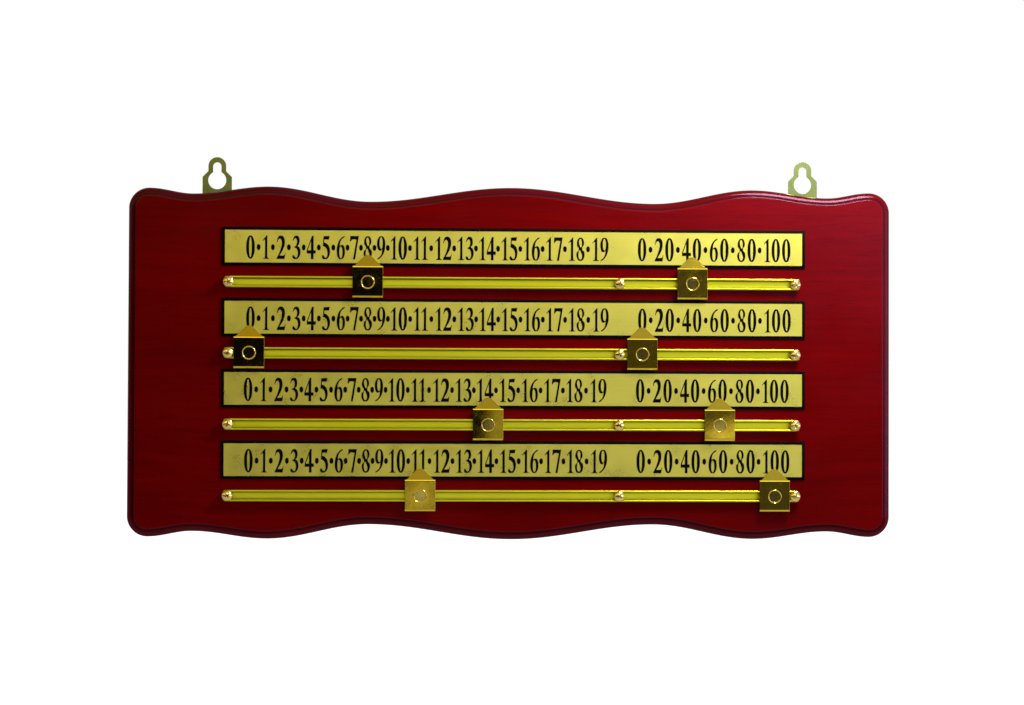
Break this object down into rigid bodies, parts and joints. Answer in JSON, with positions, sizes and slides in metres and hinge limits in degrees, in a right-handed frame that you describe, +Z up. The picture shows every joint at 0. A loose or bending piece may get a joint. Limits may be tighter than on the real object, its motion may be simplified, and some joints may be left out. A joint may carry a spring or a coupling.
{
  "type": "scoring board",
  "caption": "Wavy-edged wooden wall board with gold number strips and brass rails, on which pointed brass markers slide to show each player's score.",
  "frame": {"origin": "centre of the backboard's flat back face", "axes": "+X to the right along the board's length, numbers facing -Y, +Y into the wall, +Z up"},
  "size_m": [0.6, 0.0219, 0.3001],
  "materials": {
    "lacquered_wood": "mahogany-red stain under clear gloss lacquer",
    "gold_strip": "satin gold plate with black printing",
    "rail_brass": "bright drawn brass",
    "screw_brass": "polished brass",
    "pointer_brass": "mirror-polished brass",
    "hanger_brass": "lacquered brass"
  },
  "bodies": {
    "board": {"backboard": "lacquered_wood", "number_strip_1": "gold_strip", "number_strip_2": "gold_strip", "number_strip_3": "gold_strip", "number_strip_4": "gold_strip", "rail_1": "rail_brass", "rail_2": "rail_brass", "rail_3": "rail_brass", "rail_4": "rail_brass", "rail_screw_1_left": "screw_brass", "rail_screw_1_middle": "screw_brass", "rail_screw_1_right": "screw_brass", "rail_screw_2_left": "screw_brass", "rail_screw_2_middle": "screw_brass", "rail_screw_2_right": "screw_brass", "rail_screw_3_left": "screw_brass", "rail_screw_3_middle": "screw_brass", "rail_screw_3_right": "screw_brass", "rail_screw_4_left": "screw_brass", "rail_screw_4_middle": "screw_brass", "rail_screw_4_right": "screw_brass", "hanger_left": "hanger_brass", "hanger_right": "hanger_brass", "hanger_screw_left_upper": "screw_brass", "hanger_screw_left_lower": "screw_brass", "hanger_screw_right_upper": "screw_brass", "hanger_screw_right_lower": "screw_brass"},
    "units_marker_1": {"units_pointer_1": "pointer_brass", "units_rivet_1": "pointer_brass", "units_shoe_1": "pointer_brass"},
    "units_marker_2": {"units_pointer_2": "pointer_brass", "units_rivet_2": "pointer_brass", "units_shoe_2": "pointer_brass"},
    "units_marker_3": {"units_pointer_3": "pointer_brass", "units_rivet_3": "pointer_brass", "units_shoe_3": "pointer_brass"},
    "units_marker_4": {"units_pointer_4": "pointer_brass", "units_rivet_4": "pointer_brass", "units_shoe_4": "pointer_brass"},
    "twenties_marker_1": {"twenties_pointer_1": "pointer_brass", "twenties_rivet_1": "pointer_brass", "twenties_shoe_1": "pointer_brass"},
    "twenties_marker_2": {"twenties_pointer_2": "pointer_brass", "twenties_rivet_2": "pointer_brass", "twenties_shoe_2": "pointer_brass"},
    "twenties_marker_3": {"twenties_pointer_3": "pointer_brass", "twenties_rivet_3": "pointer_brass", "twenties_shoe_3": "pointer_brass"},
    "twenties_marker_4": {"twenties_pointer_4": "pointer_brass", "twenties_rivet_4": "pointer_brass", "twenties_shoe_4": "pointer_brass"}
  },
  "joints": [
    {"name": "units_slide_1", "type": "slide", "parent": "board", "child": "units_marker_1", "axis": [1, 0, 0], "range_m": [-0.092, 0.1811]},
    {"name": "units_slide_2", "type": "slide", "parent": "board", "child": "units_marker_2", "axis": [1, 0, 0], "range_m": [0, 0.2731]},
    {"name": "units_slide_3", "type": "slide", "parent": "board", "child": "units_marker_3", "axis": [1, 0, 0], "range_m": [-0.1864, 0.0867]},
    {"name": "units_slide_4", "type": "slide", "parent": "board", "child": "units_marker_4", "axis": [1, 0, 0], "range_m": [-0.1336, 0.1395]},
    {"name": "twenties_slide_1", "type": "slide", "parent": "board", "child": "twenties_marker_1", "axis": [1, 0, 0], "range_m": [-0.0408, 0.0653]},
    {"name": "twenties_slide_2", "type": "slide", "parent": "board", "child": "twenties_marker_2", "axis": [1, 0, 0], "range_m": [-0.0014, 0.1047]},
    {"name": "twenties_slide_3", "type": "slide", "parent": "board", "child": "twenties_marker_3", "axis": [1, 0, 0], "range_m": [-0.0626, 0.0435]},
    {"name": "twenties_slide_4", "type": "slide", "parent": "board", "child": "twenties_marker_4", "axis": [1, 0, 0], "range_m": [-0.1061, 0]}
  ]
}
